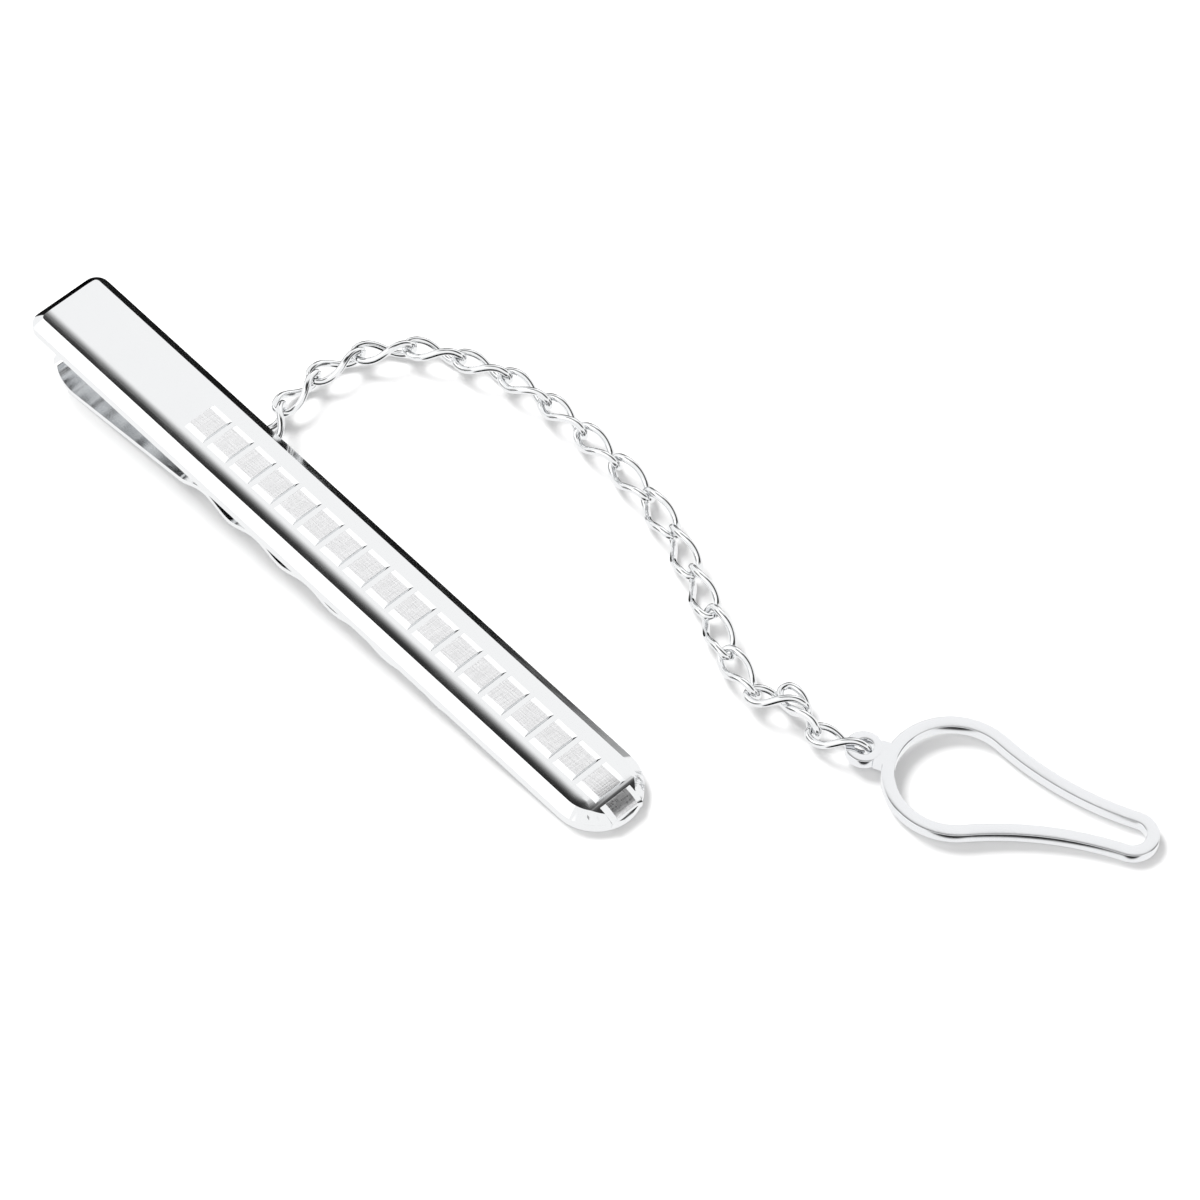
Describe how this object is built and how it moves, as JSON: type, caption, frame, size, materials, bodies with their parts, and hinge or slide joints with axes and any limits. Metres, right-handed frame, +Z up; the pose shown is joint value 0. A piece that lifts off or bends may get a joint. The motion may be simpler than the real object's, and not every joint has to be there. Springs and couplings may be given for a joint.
{
  "type": "tie bar with chain",
  "caption": "Long slide-on tie bar with a raised pad strip, a waved spring arm behind, and a twisted-link chain that ends in a keyhole-shaped button loop.",
  "frame": {"origin": "on the surface that the object lies on, under the middle of its bounding box", "axes": "+X along the bar towards its rounded tip (the bar slopes down about 4 degrees that way), +Y from the bar towards the chain, +Z up from the surface"},
  "size_m": [0.0884, 0.0298, 0.006],
  "materials": {
    "bar_metal": "mirror-polished plated bar with finely brushed pads on the raised strip",
    "spring_metal": "polished plated spring strip",
    "chain_metal": "polished plated wire",
    "loop_metal": "polished plated flat loop"
  },
  "bodies": {
    "bar": {"front_bar": "bar_metal", "spring_root": "spring_metal"},
    "arm": {"spring_arm": "spring_metal"},
    "ring": {"jump_ring": "chain_metal"},
    "link_01": {"chain_link_01": "chain_metal"},
    "link_02": {"chain_link_02": "chain_metal"},
    "link_03": {"chain_link_03": "chain_metal"},
    "link_04": {"chain_link_04": "chain_metal"},
    "link_05": {"chain_link_05": "chain_metal"},
    "link_06": {"chain_link_06": "chain_metal"},
    "link_07": {"chain_link_07": "chain_metal"},
    "link_08": {"chain_link_08": "chain_metal"},
    "link_09": {"chain_link_09": "chain_metal"},
    "link_10": {"chain_link_10": "chain_metal"},
    "link_11": {"chain_link_11": "chain_metal"},
    "link_12": {"chain_link_12": "chain_metal"},
    "link_13": {"chain_link_13": "chain_metal"},
    "link_14": {"chain_link_14": "chain_metal"},
    "link_15": {"chain_link_15": "chain_metal"},
    "link_16": {"chain_link_16": "chain_metal"},
    "link_17": {"chain_link_17": "chain_metal"},
    "link_18": {"chain_link_18": "chain_metal"},
    "loop": {"button_loop": "loop_metal"}
  },
  "joints": [
    {"name": "arm_spring", "type": "hinge", "parent": "bar", "child": "arm", "pos_m": [-0.04167, -0.01171, 0.00221], "axis": [0, 1, 0], "range_deg": [0, 4.5], "stiffness_Nm_per_rad": 2.5, "springref_deg": -2.86},
    {"name": "ring_swing", "type": "hinge", "parent": "arm", "child": "ring", "pos_m": [-0.02468, -0.00981, 0.002], "axis": [0.0726, 0, 0.9974], "range_deg": [-10, 10]},
    {"name": "chain_link_01_tilt", "type": "hinge", "parent": "ring", "child": "link_01", "pos_m": [-0.02542, -0.00841, 0.00161], "axis": [-0.8829, -0.4695, 0], "range_deg": [-25, 25]},
    {"name": "chain_link_02_swing", "type": "hinge", "parent": "link_01", "child": "link_02", "pos_m": [-0.02754, -0.00442, 0.00121], "axis": [-0.0409, 0.077, 0.9962], "range_deg": [-12, 25]},
    {"name": "chain_link_03_tilt", "type": "hinge", "parent": "link_02", "child": "link_03", "pos_m": [-0.02814, -0.00121, 0.00121], "axis": [0.9721, -0.189, -0.1392], "range_deg": [-25, 25]},
    {"name": "chain_link_04_swing", "type": "hinge", "parent": "link_03", "child": "link_04", "pos_m": [-0.02728, 0.00324, 0.00121], "axis": [-0.1366, 0.0266, -0.9903], "range_deg": [-25, 8]},
    {"name": "chain_link_05_tilt", "type": "hinge", "parent": "link_04", "child": "link_05", "pos_m": [-0.02556, 0.00606, 0.00121], "axis": [-0.4801, 0.8661, 0.1392], "range_deg": [-25, 25]},
    {"name": "chain_link_06_swing", "type": "hinge", "parent": "link_05", "child": "link_06", "pos_m": [-0.0216, 0.00826, 0.00121], "axis": [0.0675, -0.1217, 0.9903], "range_deg": [-12, 25]},
    {"name": "chain_link_07_tilt", "type": "hinge", "parent": "link_06", "child": "link_07", "pos_m": [-0.01858, 0.00945, 0.00121], "axis": [0.1035, -0.9848, -0.1392], "range_deg": [-25, 25]},
    {"name": "chain_link_08_swing", "type": "hinge", "parent": "link_07", "child": "link_08", "pos_m": [-0.01407, 0.00992, 0.00121], "axis": [-0.0145, 0.1384, -0.9903], "range_deg": [-25, 12]},
    {"name": "chain_link_09_tilt", "type": "hinge", "parent": "link_08", "child": "link_09", "pos_m": [-0.01084, 0.0099, 0.00121], "axis": [0.0627, 0.8966, 0.4384], "range_deg": [-25, 25]},
    {"name": "chain_link_10_swing", "type": "hinge", "parent": "link_09", "child": "link_10", "pos_m": [-0.00632, 0.00959, 0.00121], "axis": [-0.0306, -0.4373, 0.8988], "range_deg": [-25, 25]},
    {"name": "chain_link_11_tilt", "type": "hinge", "parent": "link_10", "child": "link_11", "pos_m": [-0.00311, 0.00923, 0.00121], "axis": [-0.1121, -0.391, -0.9135], "range_deg": [-25, 25]},
    {"name": "chain_link_12_swing", "type": "hinge", "parent": "link_11", "child": "link_12", "pos_m": [0.00125, 0.00798, 0.00121], "axis": [0.2518, 0.8782, -0.4067], "range_deg": [-25, 25]},
    {"name": "chain_link_13_tilt", "type": "hinge", "parent": "link_12", "child": "link_13", "pos_m": [0.00423, 0.00674, 0.00121], "axis": [0.0442, 0.0947, 0.9945], "range_deg": [-25, 25]},
    {"name": "chain_link_14_swing", "type": "hinge", "parent": "link_13", "child": "link_14", "pos_m": [0.00834, 0.00482, 0.00121], "axis": [-0.4203, -0.9013, 0.1045], "range_deg": [-25, 25]},
    {"name": "chain_link_15_tilt", "type": "hinge", "parent": "link_14", "child": "link_15", "pos_m": [0.01119, 0.00328, 0.00121], "axis": [-0.2116, -0.8486, -0.4848], "range_deg": [-25, 25]},
    {"name": "chain_link_16_swing", "type": "hinge", "parent": "link_15", "child": "link_16", "pos_m": [0.01559, 0.00218, 0.00121], "axis": [0.1173, 0.4704, -0.8746], "range_deg": [-8, 25]},
    {"name": "chain_link_17_swing", "type": "hinge", "parent": "link_16", "child": "link_17", "pos_m": [0.01643, 0.00338, 0.00076], "axis": [0.9185, 0.1421, -0.369], "range_deg": [-6, 4]},
    {"name": "chain_link_18_swing", "type": "hinge", "parent": "link_17", "child": "link_18", "pos_m": [0.02099, 0.00301, 0.00106], "axis": [0.0713, -0.0399, 0.9967], "range_deg": [-25, 25]},
    {"name": "loop_swing", "type": "hinge", "parent": "link_18", "child": "loop", "pos_m": [0.02455, 0.00454, 0.00109], "axis": [0.0237, -0.0771, 0.9967], "range_deg": [-30, 30]}
  ]
}
